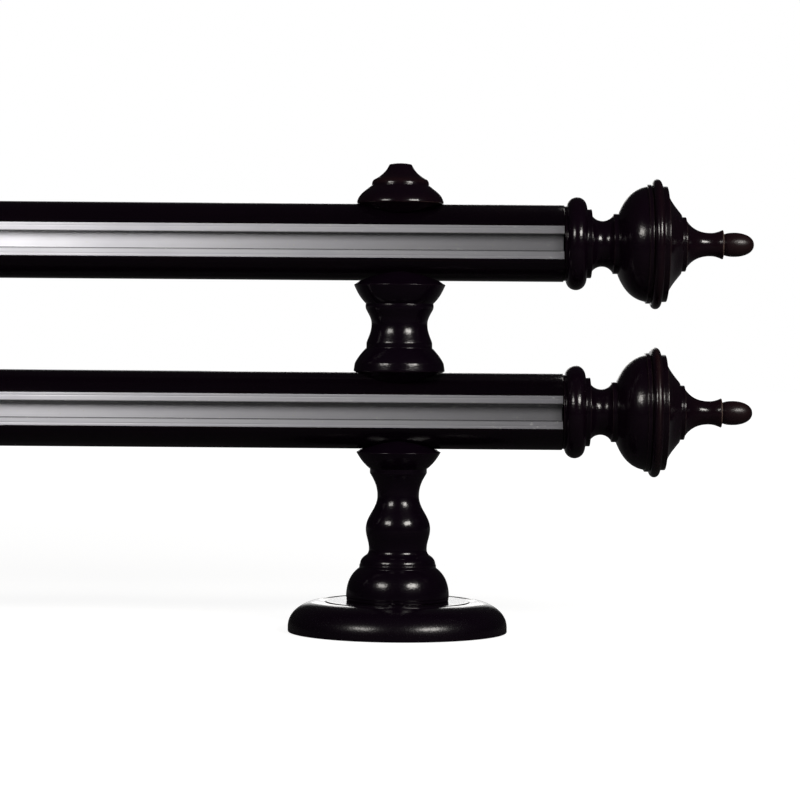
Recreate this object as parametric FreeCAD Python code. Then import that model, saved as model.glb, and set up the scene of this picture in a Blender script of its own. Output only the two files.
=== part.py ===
import FreeCAD, Part
import math
import os

# Double curtain pole of turned, dark lacquered wood. Two grooved poles, each with a curtain track let into
# it, are carried one beyond the other by two turned wall brackets, and every pole end has a turned finial.
# Sizes are in millimetres. The wall is the plane Z = 0, the brackets stand out from it along +Z, the poles
# run along X, and the tracks open towards -Y, which is down once the pole hangs on its wall.

# Poles
pole_length = 1000.0
pole_diameter = 35.0
pole_overhang = 74.5  # from a bracket's axis to the pole's end

# Curtain track, a C-section let into a groove along each pole
track_width = 15.0
track_depth = 9.0
track_wall = 1.2
track_slot = 7.3
track_line_inset = 1.0  # fine drawn line along each lip, from the lip's outer edge
track_line_width = 0.5
track_line_depth = 0.25
track_set_back = 0.2  # the track's face lies this far behind the groove's edges
track_end_gap = 0.4
groove_clearance = 0.25

# Seats: every end that meets a pole is a cone, coped to the pole
seat_slope = 33.0  # degrees
seat_core_radius = 11.0
seat_clearance = 0.1

# Wall rose
rose_radius = 50.0
rose_edge_height = 2.3
rose_dome_height = 11.8
rose_crown_radius = 35.8  # outer edge of the ring groove
rose_groove_width = 3.2
rose_groove_depth = 1.2
rose_dome_lean = -84.0  # degrees from the axis, where the dome meets the ring groove

# Wall screws: two countersunk holes in each rose, above and below the arm
screw_spacing = 56.0
screw_hole_diameter = 4.5
screw_head_diameter = 8.6

# Lower spindle, upwards from the rose
foot_bead_radius = 23.2
foot_bead_height = 1.6
foot_bead_swell = 0.3
foot_dome_radius = 23.5
foot_dome_height = 13.4
foot_dome_top_radius = 18.2
foot_dome_lean = -48.0
collar_radius = 17.5
collar_height = 1.6
collar_quirk = 0.3
collar_round_height = 4.6
collar_round_top_radius = 14.0
collar_round_lean = -60.0
vase_waist_radius = 13.2
vase_waist_height = 2.5
vase_waist_lean = -35.0
vase_swell_radius = 14.7
vase_swell_height = 9.1
vase_neck_radius = 9.5
vase_neck_height = 15.1
vase_flare_radius = 13.0
vase_flare_height = 10.4
vase_flare_lean = 32.0
cup_ring_height = 2.1
cup_quirk = 0.25
cup_height = 7.5
cup_rim_radius = 19.3
cup_foot_lean = 50.0
cup_rim_lean = 30.0
cup_rim_drop = 1.4  # rim below the underside of the inner pole

# Upper spindle, upwards from the inner pole
bell_rim_lift = 0.45  # rim above the crest of the inner pole
bell_rim_radius = 20.8
bell_height = 10.4
bell_top_radius = 15.3
bell_rim_lean = -5.0
bell_top_lean = -38.0
bell_ring_radius = 15.0
bell_ring_height = 2.55
cove_height = 15.2
cove_depth = 2.35
bowl_ring_radius = 15.3
bowl_ring_height = 2.75
bowl_quirk = 0.25
bowl_height = 8.45
bowl_rim_radius = 20.9
bowl_foot_lean = 45.0
bowl_rim_lean = 24.0
bowl_rim_drop = 1.8  # rim below the underside of the outer pole

# Top cap, upwards from the outer pole
cap_rim_lift = 0.36
cap_rim_radius = 19.8
cap_dome_height = 7.85
cap_dome_top_radius = 13.4
cap_rim_lean = -20.0
cap_dome_lean = -50.0
cap_band_radius = 13.0
cap_band_height = 1.9
cap_edge_radius = 12.1
cap_edge_height = 0.9
cap_edge_lean = -55.0
cap_flare_height = 6.9
cap_flare_foot_lean = -60.0
cap_flare_top_lean = -22.0
cap_top_radius = 5.1
cap_crown_height = 0.6
cap_crown_lean = -74.0

# Tie rod through each bracket, its nut and washer behind the rose, and the insert in the cap
rod_diameter = 6.0
rod_clearance = 0.25
thread_clearance = 0.05
rod_tail = 1.0  # rod beyond its nut
rod_tail_room = 0.5  # from the rod's end to the wall
rod_end_chamfer = 0.6
nut_across_flats = 10.0
nut_height = 5.0
washer_diameter = 18.0
washer_thickness = 1.6
recess_clearance = 2.5  # around the washer, for a socket spanner
insert_diameter = 9.0
insert_length = 9.0
insert_depth = 0.8  # insert below the cope of the cap
insert_clearance = 0.05
rod_end_room = 1.5  # bore beyond the rod's end in the cap

# Finial, outwards from the pole's end
finial_shoulder_inset = 0.5  # shoulder smaller than the pole
finial_shoulder_length = 1.05
finial_collar_length = 9.2
finial_collar_swell = 4.2
finial_disc_radius = 15.7
finial_disc_length = 2.25
finial_cove_radius = 13.2
finial_cove_length = 9.8
finial_cove_depth = 2.8
finial_ring_radius = 13.7
finial_ring_length = 2.35
finial_bowl_foot_radius = 14.2
finial_bowl_radius = 26.3
finial_bowl_length = 12.75
finial_bowl_foot_lean = 68.0
finial_bowl_lean = 10.0
finial_fillet_radius = 27.1
finial_fillet_length = 1.9
finial_quirk_radius = 26.5
finial_quirk_length = 0.35
finial_bead_foot_radius = 27.4
finial_bead_length = 4.5
finial_bead_swell = 2.2
finial_back_fillet_radius = 26.3
finial_back_fillet_length = 2.6
finial_bell_radius = 23.6
finial_bell_length = 6.6
finial_bell_foot_lean = -68.0
finial_bell_tip_radius = 13.6
finial_bell_tip_lean = -51.0
finial_step_radius = 12.4
finial_step_length = 2.1
finial_horn_radius = 11.3
finial_horn_length = 11.2
finial_horn_lean = -58.0
finial_neck_radius = 5.3
finial_flare_radius = 6.65
finial_flare_length = 5.4
finial_flare_lean = 24.0
finial_lip_length = 0.4
finial_egg_foot_radius = 4.65
finial_egg_foot_length = 5.2
finial_egg_foot_lean = 22.0
finial_egg_radius = 5.5
finial_egg_length = 8.9

# Dowel screw that holds each finial to its pole
finial_screw_diameter = 6.0
finial_screw_length = 44.0
finial_screw_room = 1.0  # bore beyond each end of the screw

# Worked out from the sizes above
pole_radius = pole_diameter / 2
rod_radius = rod_diameter / 2
bracket_x = pole_length / 2 - pole_overhang
groove_half_width = track_width / 2 + groove_clearance
groove_edge_y = -math.sqrt(pole_radius**2 - groove_half_width**2)
track_face_y = groove_edge_y + track_set_back
track_back_y = track_face_y + track_depth
rose_thickness = rose_edge_height + rose_dome_height
recess_depth = washer_thickness + nut_height + rod_tail + rod_tail_room
along_x = FreeCAD.Vector(1, 0, 0)
along_z = FreeCAD.Vector(0, 0, 1)
handle_share = 0.38  # length of a curve's end handles, as a share of its chord


class Turning:
    """A lathe profile, drawn as radius against height from the foot of a piece to its top."""

    def __init__(self, radius):
        self.foot_radius = radius
        self.radius = radius
        self.height = 0.0
        self.edges = []

    def here(self):
        return FreeCAD.Vector(self.radius, 0, self.height)

    def arrive(self, edge, radius, rise):
        self.edges.append(edge)
        self.radius = radius
        self.height += rise

    def taper(self, radius, rise):
        """A straight cut to another radius and height."""
        end = FreeCAD.Vector(radius, 0, self.height + rise)
        if end.distanceToPoint(self.here()) > 0:
            self.arrive(Part.makeLine(self.here(), end), radius, rise)

    def step(self, radius):
        """A flat shoulder to another radius."""
        self.taper(radius, 0.0)

    def band(self, rise):
        """A plain cylinder."""
        self.taper(self.radius, rise)

    def bow(self, radius, rise, swell):
        """A circular bead, or a cove where the swell is negative; the swell is measured from the chord."""
        start = self.here()
        end = FreeCAD.Vector(radius, 0, self.height + rise)
        chord = end - start
        outwards = FreeCAD.Vector(chord.z, 0, -chord.x).normalize()
        middle = (start + end) * 0.5 + outwards * swell
        self.arrive(Part.Arc(start, middle, end).toShape(), radius, rise)

    def curve(self, radius, rise, lean_start, lean_end):
        """A free sweep between two leans, in degrees from the axis; a positive lean opens outwards."""
        start = self.here()
        end = FreeCAD.Vector(radius, 0, self.height + rise)
        handle = handle_share * start.distanceToPoint(end)
        sweep = Part.BezierCurve()
        sweep.setPoles([start, start + lean(lean_start) * handle, end - lean(lean_end) * handle, end])
        self.arrive(sweep.toShape(), radius, rise)

    def solid(self):
        """The profile closed along the axis and turned through a full circle."""
        self.step(0.0)
        foot = FreeCAD.Vector(0, 0, 0)
        axis = Part.makeLine(self.here(), foot)
        base = Part.makeLine(foot, FreeCAD.Vector(self.foot_radius, 0, 0))
        return Part.Face(Part.Wire(self.edges + [axis, base])).revolve(foot, along_z, 360)


def lean(degrees):
    angle = math.radians(degrees)
    return FreeCAD.Vector(math.sin(angle), 0, math.cos(angle))


def seat_rise(rim_radius):
    """Height of the seat's cone, from a rim to its core."""
    return (rim_radius - seat_core_radius) * math.tan(math.radians(seat_slope))


def cope(blank, pole_height):
    """Scoop the end of a turned blank to the round of a pole."""
    reach = blank.BoundBox.DiagonalLength
    start = FreeCAD.Vector(-reach, 0, pole_height)
    return blank.cut(Part.makeCylinder(pole_radius + seat_clearance, 2 * reach, start, along_x))


def upright(radius, low, high):
    return Part.makeCylinder(radius, high - low, FreeCAD.Vector(0, 0, low), along_z)


def raised(shape, height):
    return shape.translated(FreeCAD.Vector(0, 0, height))


def pin(radius, length, chamfer):
    """A round bar with chamfered ends, standing on the origin."""
    profile = Turning(radius - chamfer)
    profile.taper(radius, chamfer)
    profile.band(length - 2 * chamfer)
    profile.taper(radius - chamfer, chamfer)
    return profile.solid()


def lower_spindle_blank():
    """The arm between rose and inner pole, before coping, and the height of its rim."""
    profile = Turning(foot_bead_radius)
    profile.bow(foot_bead_radius, foot_bead_height, foot_bead_swell)
    profile.step(foot_dome_radius)
    profile.curve(foot_dome_top_radius, foot_dome_height, 0, foot_dome_lean)
    profile.step(collar_radius)
    profile.band(collar_height)
    profile.step(collar_radius - collar_quirk)
    profile.curve(collar_round_top_radius, collar_round_height, 0, collar_round_lean)
    profile.curve(vase_waist_radius, vase_waist_height, vase_waist_lean, 0)
    profile.curve(vase_swell_radius, vase_swell_height, 0, 0)
    profile.curve(vase_neck_radius, vase_neck_height, 0, 0)
    profile.curve(vase_flare_radius, vase_flare_height, 0, vase_flare_lean)
    profile.band(cup_ring_height)
    profile.step(vase_flare_radius + cup_quirk)
    profile.curve(cup_rim_radius, cup_height, cup_foot_lean, cup_rim_lean)
    rim_height = profile.height
    profile.taper(seat_core_radius, seat_rise(cup_rim_radius))
    return profile.solid(), rim_height


def upper_spindle_blank():
    """The arm between the poles, before coping, and the heights of its lower and upper rims."""
    profile = Turning(seat_core_radius)
    profile.taper(bell_rim_radius, seat_rise(bell_rim_radius))
    low_rim_height = profile.height
    profile.curve(bell_top_radius, bell_height, bell_rim_lean, bell_top_lean)
    profile.step(bell_ring_radius)
    profile.band(bell_ring_height)
    profile.bow(bowl_ring_radius, cove_height, -cove_depth)
    profile.band(bowl_ring_height)
    profile.step(bowl_ring_radius + bowl_quirk)
    profile.curve(bowl_rim_radius, bowl_height, bowl_foot_lean, bowl_rim_lean)
    high_rim_height = profile.height
    profile.taper(seat_core_radius, seat_rise(bowl_rim_radius))
    return profile.solid(), low_rim_height, high_rim_height


def top_cap_blank():
    """The button over the outer pole, before coping, and the height of its rim."""
    profile = Turning(seat_core_radius)
    profile.taper(cap_rim_radius, seat_rise(cap_rim_radius))
    rim_height = profile.height
    profile.curve(cap_dome_top_radius, cap_dome_height, cap_rim_lean, cap_dome_lean)
    profile.step(cap_band_radius)
    profile.band(cap_band_height)
    profile.curve(cap_edge_radius, cap_edge_height, 0, cap_edge_lean)
    profile.curve(cap_top_radius, cap_flare_height, cap_flare_foot_lean, cap_flare_top_lean)
    profile.curve(0.0, cap_crown_height, cap_crown_lean, -90)
    return profile.solid(), rim_height


def wall_rose():
    """The disc on the wall, with its nut recess, rod bore and countersunk screw holes."""
    profile = Turning(rose_radius)
    profile.band(rose_edge_height)
    profile.curve(rose_crown_radius, rose_dome_height, 0, rose_dome_lean)
    profile.bow(rose_crown_radius - rose_groove_width, 0.0, -rose_groove_depth)
    rose = profile.solid()
    rose = rose.cut(upright(washer_diameter / 2 + recess_clearance, 0, recess_depth))
    rose = rose.cut(upright(rod_radius + rod_clearance, recess_depth, rose_thickness))
    return rose.cut(screw_hole(screw_spacing / 2)).cut(screw_hole(-screw_spacing / 2))


def screw_hole(y):
    """One through hole with a right-angled countersink at the rose's face."""
    hole_radius = screw_hole_diameter / 2
    head_radius = screw_head_diameter / 2
    profile = Turning(hole_radius)
    profile.band(rose_thickness - (head_radius - hole_radius))
    profile.taper(head_radius, head_radius - hole_radius)
    return profile.solid().translated(FreeCAD.Vector(0, y, 0))


def rod_washer():
    washer = upright(washer_diameter / 2, recess_depth - washer_thickness, recess_depth)
    return washer.cut(upright(rod_radius + rod_clearance, 0, recess_depth))


def rod_nut():
    """A hexagon nut with its corners turned off at 30 degrees."""
    corner = nut_across_flats / math.sqrt(3)
    turns = [math.radians(60 * side) for side in range(7)]
    corners = [FreeCAD.Vector(corner * math.cos(t), corner * math.sin(t), 0) for t in turns]
    prism = Part.Face(Part.makePolygon(corners)).extrude(FreeCAD.Vector(0, 0, nut_height))
    bevel = (corner - nut_across_flats / 2) * math.tan(math.radians(30))
    turned = Turning(nut_across_flats / 2)
    turned.taper(corner, bevel)
    turned.band(nut_height - 2 * bevel)
    turned.taper(nut_across_flats / 2, bevel)
    nut = prism.common(turned.solid()).cut(upright(rod_radius + thread_clearance, 0, nut_height))
    return raised(nut, recess_depth - washer_thickness - nut_height)


def finial():
    """One turned finial, standing on the origin with its tip upwards."""
    shoulder_radius = pole_radius - finial_shoulder_inset
    profile = Turning(shoulder_radius)
    profile.band(finial_shoulder_length)
    profile.bow(shoulder_radius, finial_collar_length, finial_collar_swell)
    profile.step(finial_disc_radius)
    profile.band(finial_disc_length)
    profile.step(finial_cove_radius)
    profile.bow(finial_cove_radius, finial_cove_length, -finial_cove_depth)
    profile.step(finial_ring_radius)
    profile.band(finial_ring_length)
    profile.step(finial_bowl_foot_radius)
    profile.curve(finial_bowl_radius, finial_bowl_length, finial_bowl_foot_lean, finial_bowl_lean)
    profile.step(finial_fillet_radius)
    profile.band(finial_fillet_length)
    profile.step(finial_quirk_radius)
    profile.band(finial_quirk_length)
    profile.step(finial_bead_foot_radius)
    profile.bow(finial_bead_foot_radius, finial_bead_length, finial_bead_swell)
    profile.step(finial_back_fillet_radius)
    profile.band(finial_back_fillet_length)
    profile.step(finial_bell_radius)
    profile.curve(finial_bell_tip_radius, finial_bell_length, finial_bell_foot_lean, finial_bell_tip_lean)
    profile.step(finial_step_radius)
    profile.band(finial_step_length)
    profile.step(finial_horn_radius)
    profile.curve(finial_neck_radius, finial_horn_length, finial_horn_lean, 0)
    profile.curve(finial_flare_radius, finial_flare_length, 0, finial_flare_lean)
    profile.band(finial_lip_length)
    profile.step(finial_egg_foot_radius)
    profile.curve(finial_egg_radius, finial_egg_foot_length, finial_egg_foot_lean, 0)
    profile.curve(0.0, finial_egg_length, 0, -90)
    bore_radius = finial_screw_diameter / 2 + thread_clearance
    return profile.solid().cut(upright(bore_radius, 0, finial_screw_length / 2 + finial_screw_room))


def track_section():
    """Half the C-section's outline below its middle, from the slot round to the back, then its mirror."""
    half = track_width / 2
    slot = track_slot / 2
    line_outer = half - track_line_inset
    line_middle = line_outer - track_line_width / 2
    line_inner = line_outer - track_line_width
    face = track_face_y
    side = half - track_wall
    lower = [
        (track_back_y - track_wall, side),
        (face + track_wall, side),
        (face + track_wall, slot),
        (face, slot),
        (face, line_inner),
        (face + track_line_depth, line_middle),
        (face, line_outer),
        (face, half),
        (track_back_y, half),
    ]
    outline = [(y, -z) for y, z in lower] + [(y, z) for y, z in reversed(lower)]
    points = [FreeCAD.Vector(0, y, z) for y, z in outline]
    return Part.Face(Part.makePolygon(points + points[:1]))


def track():
    length = pole_length - 2 * track_end_gap
    bar = track_section().extrude(FreeCAD.Vector(length, 0, 0))
    return bar.translated(FreeCAD.Vector(-length / 2, 0, 0))


def pole():
    """A round pole about the X axis, with its track groove, rod holes and finial bores."""
    start = FreeCAD.Vector(-pole_length / 2, 0, 0)
    rod = Part.makeCylinder(pole_radius, pole_length, start, along_x)
    groove_corner = FreeCAD.Vector(-pole_length / 2, -pole_diameter, -groove_half_width)
    groove = Part.makeBox(pole_length, pole_diameter + track_back_y, 2 * groove_half_width, groove_corner)
    rod = rod.cut(groove)
    bore_radius = finial_screw_diameter / 2 + thread_clearance
    bore_depth = finial_screw_length / 2 + finial_screw_room
    for side in (-1, 1):
        hole = upright(rod_radius + rod_clearance, -pole_radius, pole_radius)
        rod = rod.cut(hole.translated(FreeCAD.Vector(side * bracket_x, 0, 0)))
        end = FreeCAD.Vector(side * pole_length / 2, 0, 0)
        rod = rod.cut(Part.makeCylinder(bore_radius, bore_depth, end, along_x * -side))
    return rod


def laid_along_pole(shape, side, pole_height):
    """Lay an upright piece along X at the right (1) or left (-1) end of a pole, pointing outwards."""
    laid = shape.copy()
    laid.rotate(FreeCAD.Vector(0, 0, 0), FreeCAD.Vector(0, 1, 0), side * 90)
    return laid.translated(FreeCAD.Vector(side * pole_length / 2, 0, pole_height))


# The stack: each turned piece says how high it carries what stands on it
lower_blank, cup_rim_height = lower_spindle_blank()
upper_blank, bell_rim_height, bowl_rim_height = upper_spindle_blank()
cap_blank, cap_rim_height = top_cap_blank()
inner_axis = rose_thickness + cup_rim_height + cup_rim_drop + pole_radius
upper_foot = inner_axis + pole_radius + bell_rim_lift - bell_rim_height
outer_axis = upper_foot + bowl_rim_height + bowl_rim_drop + pole_radius
outer_crest = outer_axis + pole_radius
cap_foot = outer_crest + cap_rim_lift - cap_rim_height

# The rod ends inside the cap's insert
rod_bottom = rod_tail_room
insert_bottom = outer_crest + seat_clearance + insert_depth
rod_top = insert_bottom + insert_length
rod_bore = upright(rod_radius + rod_clearance, 0, rod_top + rod_end_room)
insert = upright(insert_diameter / 2, insert_bottom, rod_top)
insert_hole = upright(insert_diameter / 2 + insert_clearance, outer_axis, rod_top)

lower_spindle = cope(raised(lower_blank, rose_thickness), inner_axis).cut(rod_bore)
upper_spindle = cope(cope(raised(upper_blank, upper_foot), inner_axis), outer_axis).cut(rod_bore)
top_cap = cope(raised(cap_blank, cap_foot), outer_axis).cut(rod_bore).cut(insert_hole)
bracket = {
    "wall_rose": wall_rose(),
    "lower_spindle": lower_spindle,
    "upper_spindle": upper_spindle,
    "top_cap": top_cap,
    "tie_rod": raised(pin(rod_radius, rod_top - rod_bottom, rod_end_chamfer), rod_bottom),
    "rod_washer": rod_washer(),
    "rod_nut": rod_nut(),
    "cap_insert": insert.cut(upright(rod_radius + thread_clearance, insert_bottom, rod_top)),
}
finial_screw = raised(pin(finial_screw_diameter / 2, finial_screw_length, rod_end_chamfer), -finial_screw_length / 2)

nodes = {}
for side_name, side in (("right", 1), ("left", -1)):
    for name, shape in bracket.items():
        nodes[f"{name}_{side_name}"] = shape.translated(FreeCAD.Vector(side * bracket_x, 0, 0))
    for pole_name, height in (("inner", inner_axis), ("outer", outer_axis)):
        nodes[f"{pole_name}_finial_{side_name}"] = laid_along_pole(finial(), side, height)
        nodes[f"{pole_name}_finial_screw_{side_name}"] = laid_along_pole(finial_screw, side, height)
for pole_name, height in (("inner", inner_axis), ("outer", outer_axis)):
    nodes[f"{pole_name}_pole"] = raised(pole(), height)
    nodes[f"{pole_name}_track"] = raised(track(), height)

os.makedirs("parts", exist_ok=True)
for name, shape in nodes.items():
    shape.exportStep(f"parts/{name}.step")
print(f"{len(nodes)} pieces, inner pole {inner_axis:.1f} and outer pole {outer_axis:.1f} from the wall")
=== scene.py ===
import math

import bpy
import numpy as np
from mathutils import Matrix, Vector


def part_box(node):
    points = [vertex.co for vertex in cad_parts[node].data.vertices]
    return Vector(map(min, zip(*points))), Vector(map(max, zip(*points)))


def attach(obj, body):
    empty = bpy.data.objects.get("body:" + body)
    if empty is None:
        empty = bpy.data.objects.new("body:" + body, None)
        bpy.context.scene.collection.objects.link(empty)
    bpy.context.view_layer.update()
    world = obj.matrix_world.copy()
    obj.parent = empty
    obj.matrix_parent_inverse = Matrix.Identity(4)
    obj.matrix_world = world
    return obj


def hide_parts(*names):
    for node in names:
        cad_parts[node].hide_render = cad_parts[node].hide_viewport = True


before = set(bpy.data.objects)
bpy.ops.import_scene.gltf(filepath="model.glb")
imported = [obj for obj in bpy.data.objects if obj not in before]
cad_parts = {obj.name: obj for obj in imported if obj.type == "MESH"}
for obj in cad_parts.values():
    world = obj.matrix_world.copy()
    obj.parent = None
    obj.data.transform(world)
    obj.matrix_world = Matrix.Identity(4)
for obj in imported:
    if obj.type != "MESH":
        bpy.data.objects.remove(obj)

# Double curtain pole in dark lacquered, turned wood. Lengths in the pieces' and finishes' dictionaries are
# millimetres, those of the floor, room, lamps and camera are metres. The meshes go into the scene in metres.
scene = bpy.context.scene
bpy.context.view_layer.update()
mm = 0.001
sides = {"right": 1, "left": -1}
poleNames = ("inner", "outer")


def middleOf(node):
    low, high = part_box(node)
    return (low + high) / 2 / mm


bracketX = middleOf("wall_rose_right").x
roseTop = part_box("wall_rose_right")[1].z / mm
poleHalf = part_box("inner_pole")[1].x / mm
poleAxis = {name: middleOf(f"{name}_pole").z for name in poleNames}
print("frame loaded, bracket at", round(bracketX, 2), "poles at", [round(z, 2) for z in poleAxis.values()])


# Profiles: rows along a straight or curved run, the length of a curve's handles as a share of its chord, then
# how finely a chain is eased, how far apart its rows are, and where its bends count as an arris
chainRule = dict(straightRows=24, curveRows=90, handle=0.38, fineStep=0.03, spread=4.0, coarse=2.0, turn=0.16,
                 arrisFrom=0.5, arrisSpan=1.6)


class Turning:
    # a chain of points (radius, height), drawn move by move as a turner works along the blank
    def __init__(self, radius, height=0.0):
        self.runs = [np.array([[radius, height]])]

    def here(self):
        return self.runs[-1][-1]

    # straight cut: start + t * (end - start)
    def taper(self, radius, rise):
        start = self.here()
        t = np.linspace(0, 1, chainRule["straightRows"])[1:, None]
        self.runs.append(start + t * (np.array([radius, start[1] + rise]) - start))

    def step(self, radius):
        self.taper(radius, 0.0)

    def band(self, rise):
        self.taper(self.here()[0], rise)

    # circular arc: it leaves the chord by `swell` at its middle, outwards when positive
    def bow(self, radius, rise, swell):
        start = self.here()
        chord = np.array([radius, start[1] + rise]) - start
        half = np.hypot(*chord) / 2
        along = chord / (2 * half)
        out = np.array([along[1], -along[0]])
        big = (half**2 + swell**2) / (2 * abs(swell))
        most = 2 * math.atan2(abs(swell), half)
        a = np.linspace(-most, most, chainRule["curveRows"])[1:, None]
        lift = math.copysign(1, swell) * (big * np.cos(a) - big + abs(swell))
        self.runs.append(start + chord / 2 + along * big * np.sin(a) + out * lift)

    # cubic Bezier: the end handles are a share of the chord, turned from the axis by the two leans
    def curve(self, radius, rise, leanStart, leanEnd):
        start = self.here()
        end = np.array([radius, start[1] + rise])
        handle = chainRule["handle"] * np.hypot(*(end - start))
        a, b = math.radians(leanStart), math.radians(leanEnd)
        p1 = start + handle * np.array([math.sin(a), math.cos(a)])
        p2 = end - handle * np.array([math.sin(b), math.cos(b)])
        t = np.linspace(0, 1, chainRule["curveRows"])[1:, None]
        self.runs.append((1 - t)**3 * start + 3 * t * (1 - t)**2 * p1
                         + 3 * t**2 * (1 - t) * p2 + t**3 * end)

    def points(self):
        return np.vstack(self.runs)


# Eases the corners of a chain by a running mean along its length (a Gaussian of width `ease`), then spaces
# the rows so that they are close where it bends. An open chain ends on the axis and is mirrored over it.
# Gives the points, the outward direction at each, and how sharply each stands proud (0 flat, 1 an arris).
def easedChain(points, ease, closed, coarse, turn):
    if closed:
        points = np.vstack([points, points[:1]])
    gaps = np.hypot(*np.diff(points, axis=0).T)
    points = points[np.r_[True, gaps > 1e-9]]
    length = np.r_[0.0, np.cumsum(np.hypot(*np.diff(points, axis=0).T))]
    count = int(length[-1] / chainRule["fineStep"])
    fine = np.linspace(0, length[-1], count + 1)
    step = fine[1]
    chain = np.column_stack([np.interp(fine, length, points[:, k]) for k in (0, 1)])
    reach = int(chainRule["spread"] * ease / step) + 2
    if closed:
        chain = chain[:-1]
        padded = np.vstack([chain[-reach:], chain, chain[:reach]])
    else:
        flip = np.array([-1.0, 1.0])
        padded = np.vstack([chain[reach:0:-1] * flip, chain, chain[-2:-reach - 2:-1] * flip])
    kernel = np.exp(-0.5 * (np.arange(-reach, reach + 1) * step / ease)**2)
    kernel /= kernel.sum()
    soft = np.column_stack([np.convolve(padded[:, k], kernel, "valid") for k in (0, 1)])
    if closed:
        around = np.vstack([soft[-2:], soft, soft[:2]])
    else:
        around = np.vstack([soft[2:0:-1] * flip, soft, soft[-2:-4:-1] * flip])
    tangent = np.gradient(around, axis=0)
    tangent /= np.hypot(*tangent.T)[:, None]
    outward = np.column_stack([tangent[:, 1], -tangent[:, 0]])
    bend = -np.einsum("ij,ij->i", np.gradient(tangent, axis=0), outward)[2:-2] / step
    outward = outward[2:-2]
    crowd = np.r_[0.0, np.cumsum((1 / coarse + np.abs(bend) / turn) * step)]
    rows = int(math.ceil(crowd[-1]))
    if closed:
        at = np.linspace(0, crowd[-1], rows, endpoint=False)
        where = np.interp(at, crowd, np.arange(len(crowd)))
        index = np.arange(len(soft) + 1)
        wrap = lambda values: np.interp(where, index, np.r_[values, values[:1]])
    else:
        at = np.linspace(0, crowd[-2], rows)
        where = np.interp(at, crowd[:-1], np.arange(len(soft)))
        wrap = lambda values: np.interp(where, np.arange(len(soft)), values)
    chosen = np.column_stack([wrap(soft[:, 0]), wrap(soft[:, 1])])
    normal = np.column_stack([wrap(outward[:, 0]), wrap(outward[:, 1])])
    arris = np.clip((wrap(bend) - chainRule["arrisFrom"]) / chainRule["arrisSpan"], 0, 1)
    return chosen, normal, arris


# Meshes
# Quads of a grid of rows by columns; the columns always close, the rows close when asked.
def gridFaces(rows, columns, closeRows):
    i = np.arange(rows if closeRows else rows - 1)[:, None]
    j = np.arange(columns)[None, :]
    up, on = (i + 1) % rows, (j + 1) % columns
    corners = [i * columns + j, i * columns + on, up * columns + on, up * columns + j]
    return np.stack(corners, axis=-1).reshape(-1, 4)


def newObject(name, vertices, faces, marks):
    mesh = bpy.data.meshes.new(name)
    mesh.from_pydata((vertices * mm).tolist(), [], faces)
    for mark, values in marks.items():
        layer = mesh.attributes.new(mark, "FLOAT", "POINT")
        layer.data.foreach_set("value", np.ascontiguousarray(values, dtype=np.float32))
    mesh.polygons.foreach_set("use_smooth", np.ones(len(mesh.polygons), dtype=bool))
    mesh.update()
    piece = bpy.data.objects.new(name, mesh)
    scene.collection.objects.link(piece)
    return piece


# Turned surface: point(u, a) = radius(u) * (cos a, sin a) across and height(u) along the axis.
def turnedGrid(chain, columns):
    a = np.linspace(0, 2 * np.pi, columns, endpoint=False)[None, :]
    radius, height = chain[:, :1], chain[:, 1:]
    return np.stack([radius * np.cos(a), radius * np.sin(a), height + 0 * a], axis=-1)


# A turned piece from its chain. An open chain ends on the axis, where a fan of triangles closes each pole.
def turnedPiece(name, points, ease, closed, columns, place, stain=None, coarse=chainRule["coarse"]):
    chain, _, arris = easedChain(points, ease, closed, coarse, chainRule["turn"])
    stainRows = np.zeros(len(chain)) if stain is None else np.interp(chain[:, 1], *stain)
    if closed:
        vertices = turnedGrid(chain, columns).reshape(-1, 3)
        faces = gridFaces(len(chain), columns, True).tolist()
        repeat = lambda rows: np.repeat(rows, columns)
    else:
        inner = chain[1:-1]
        ends = np.array([[0, 0, chain[0, 1]], [0, 0, chain[-1, 1]]])
        vertices = np.vstack([turnedGrid(inner, columns).reshape(-1, 3), ends])
        last = len(inner) * columns
        j = np.arange(columns)
        on = (j + 1) % columns
        top = last - columns
        foot = np.column_stack([np.full(columns, last), on, j])
        tip = np.column_stack([np.full(columns, last + 1), top + j, top + on])
        faces = gridFaces(len(inner), columns, False).tolist() + foot.tolist() + tip.tolist()
        repeat = lambda rows: np.r_[np.repeat(rows[1:-1], columns), rows[0], rows[-1]]
    return newObject(name, place(vertices), faces, {"arris": repeat(arris), "stain": repeat(stainRows)})


# Rows of each eased end and of the length between them, which starts this far from the ends, and the arris
# mark of the ends, which on the tracks paints a highlight
drawnRule = dict(endRows=6, middleRows=41, middleFrom=5.0, endArris=0.6)


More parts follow.
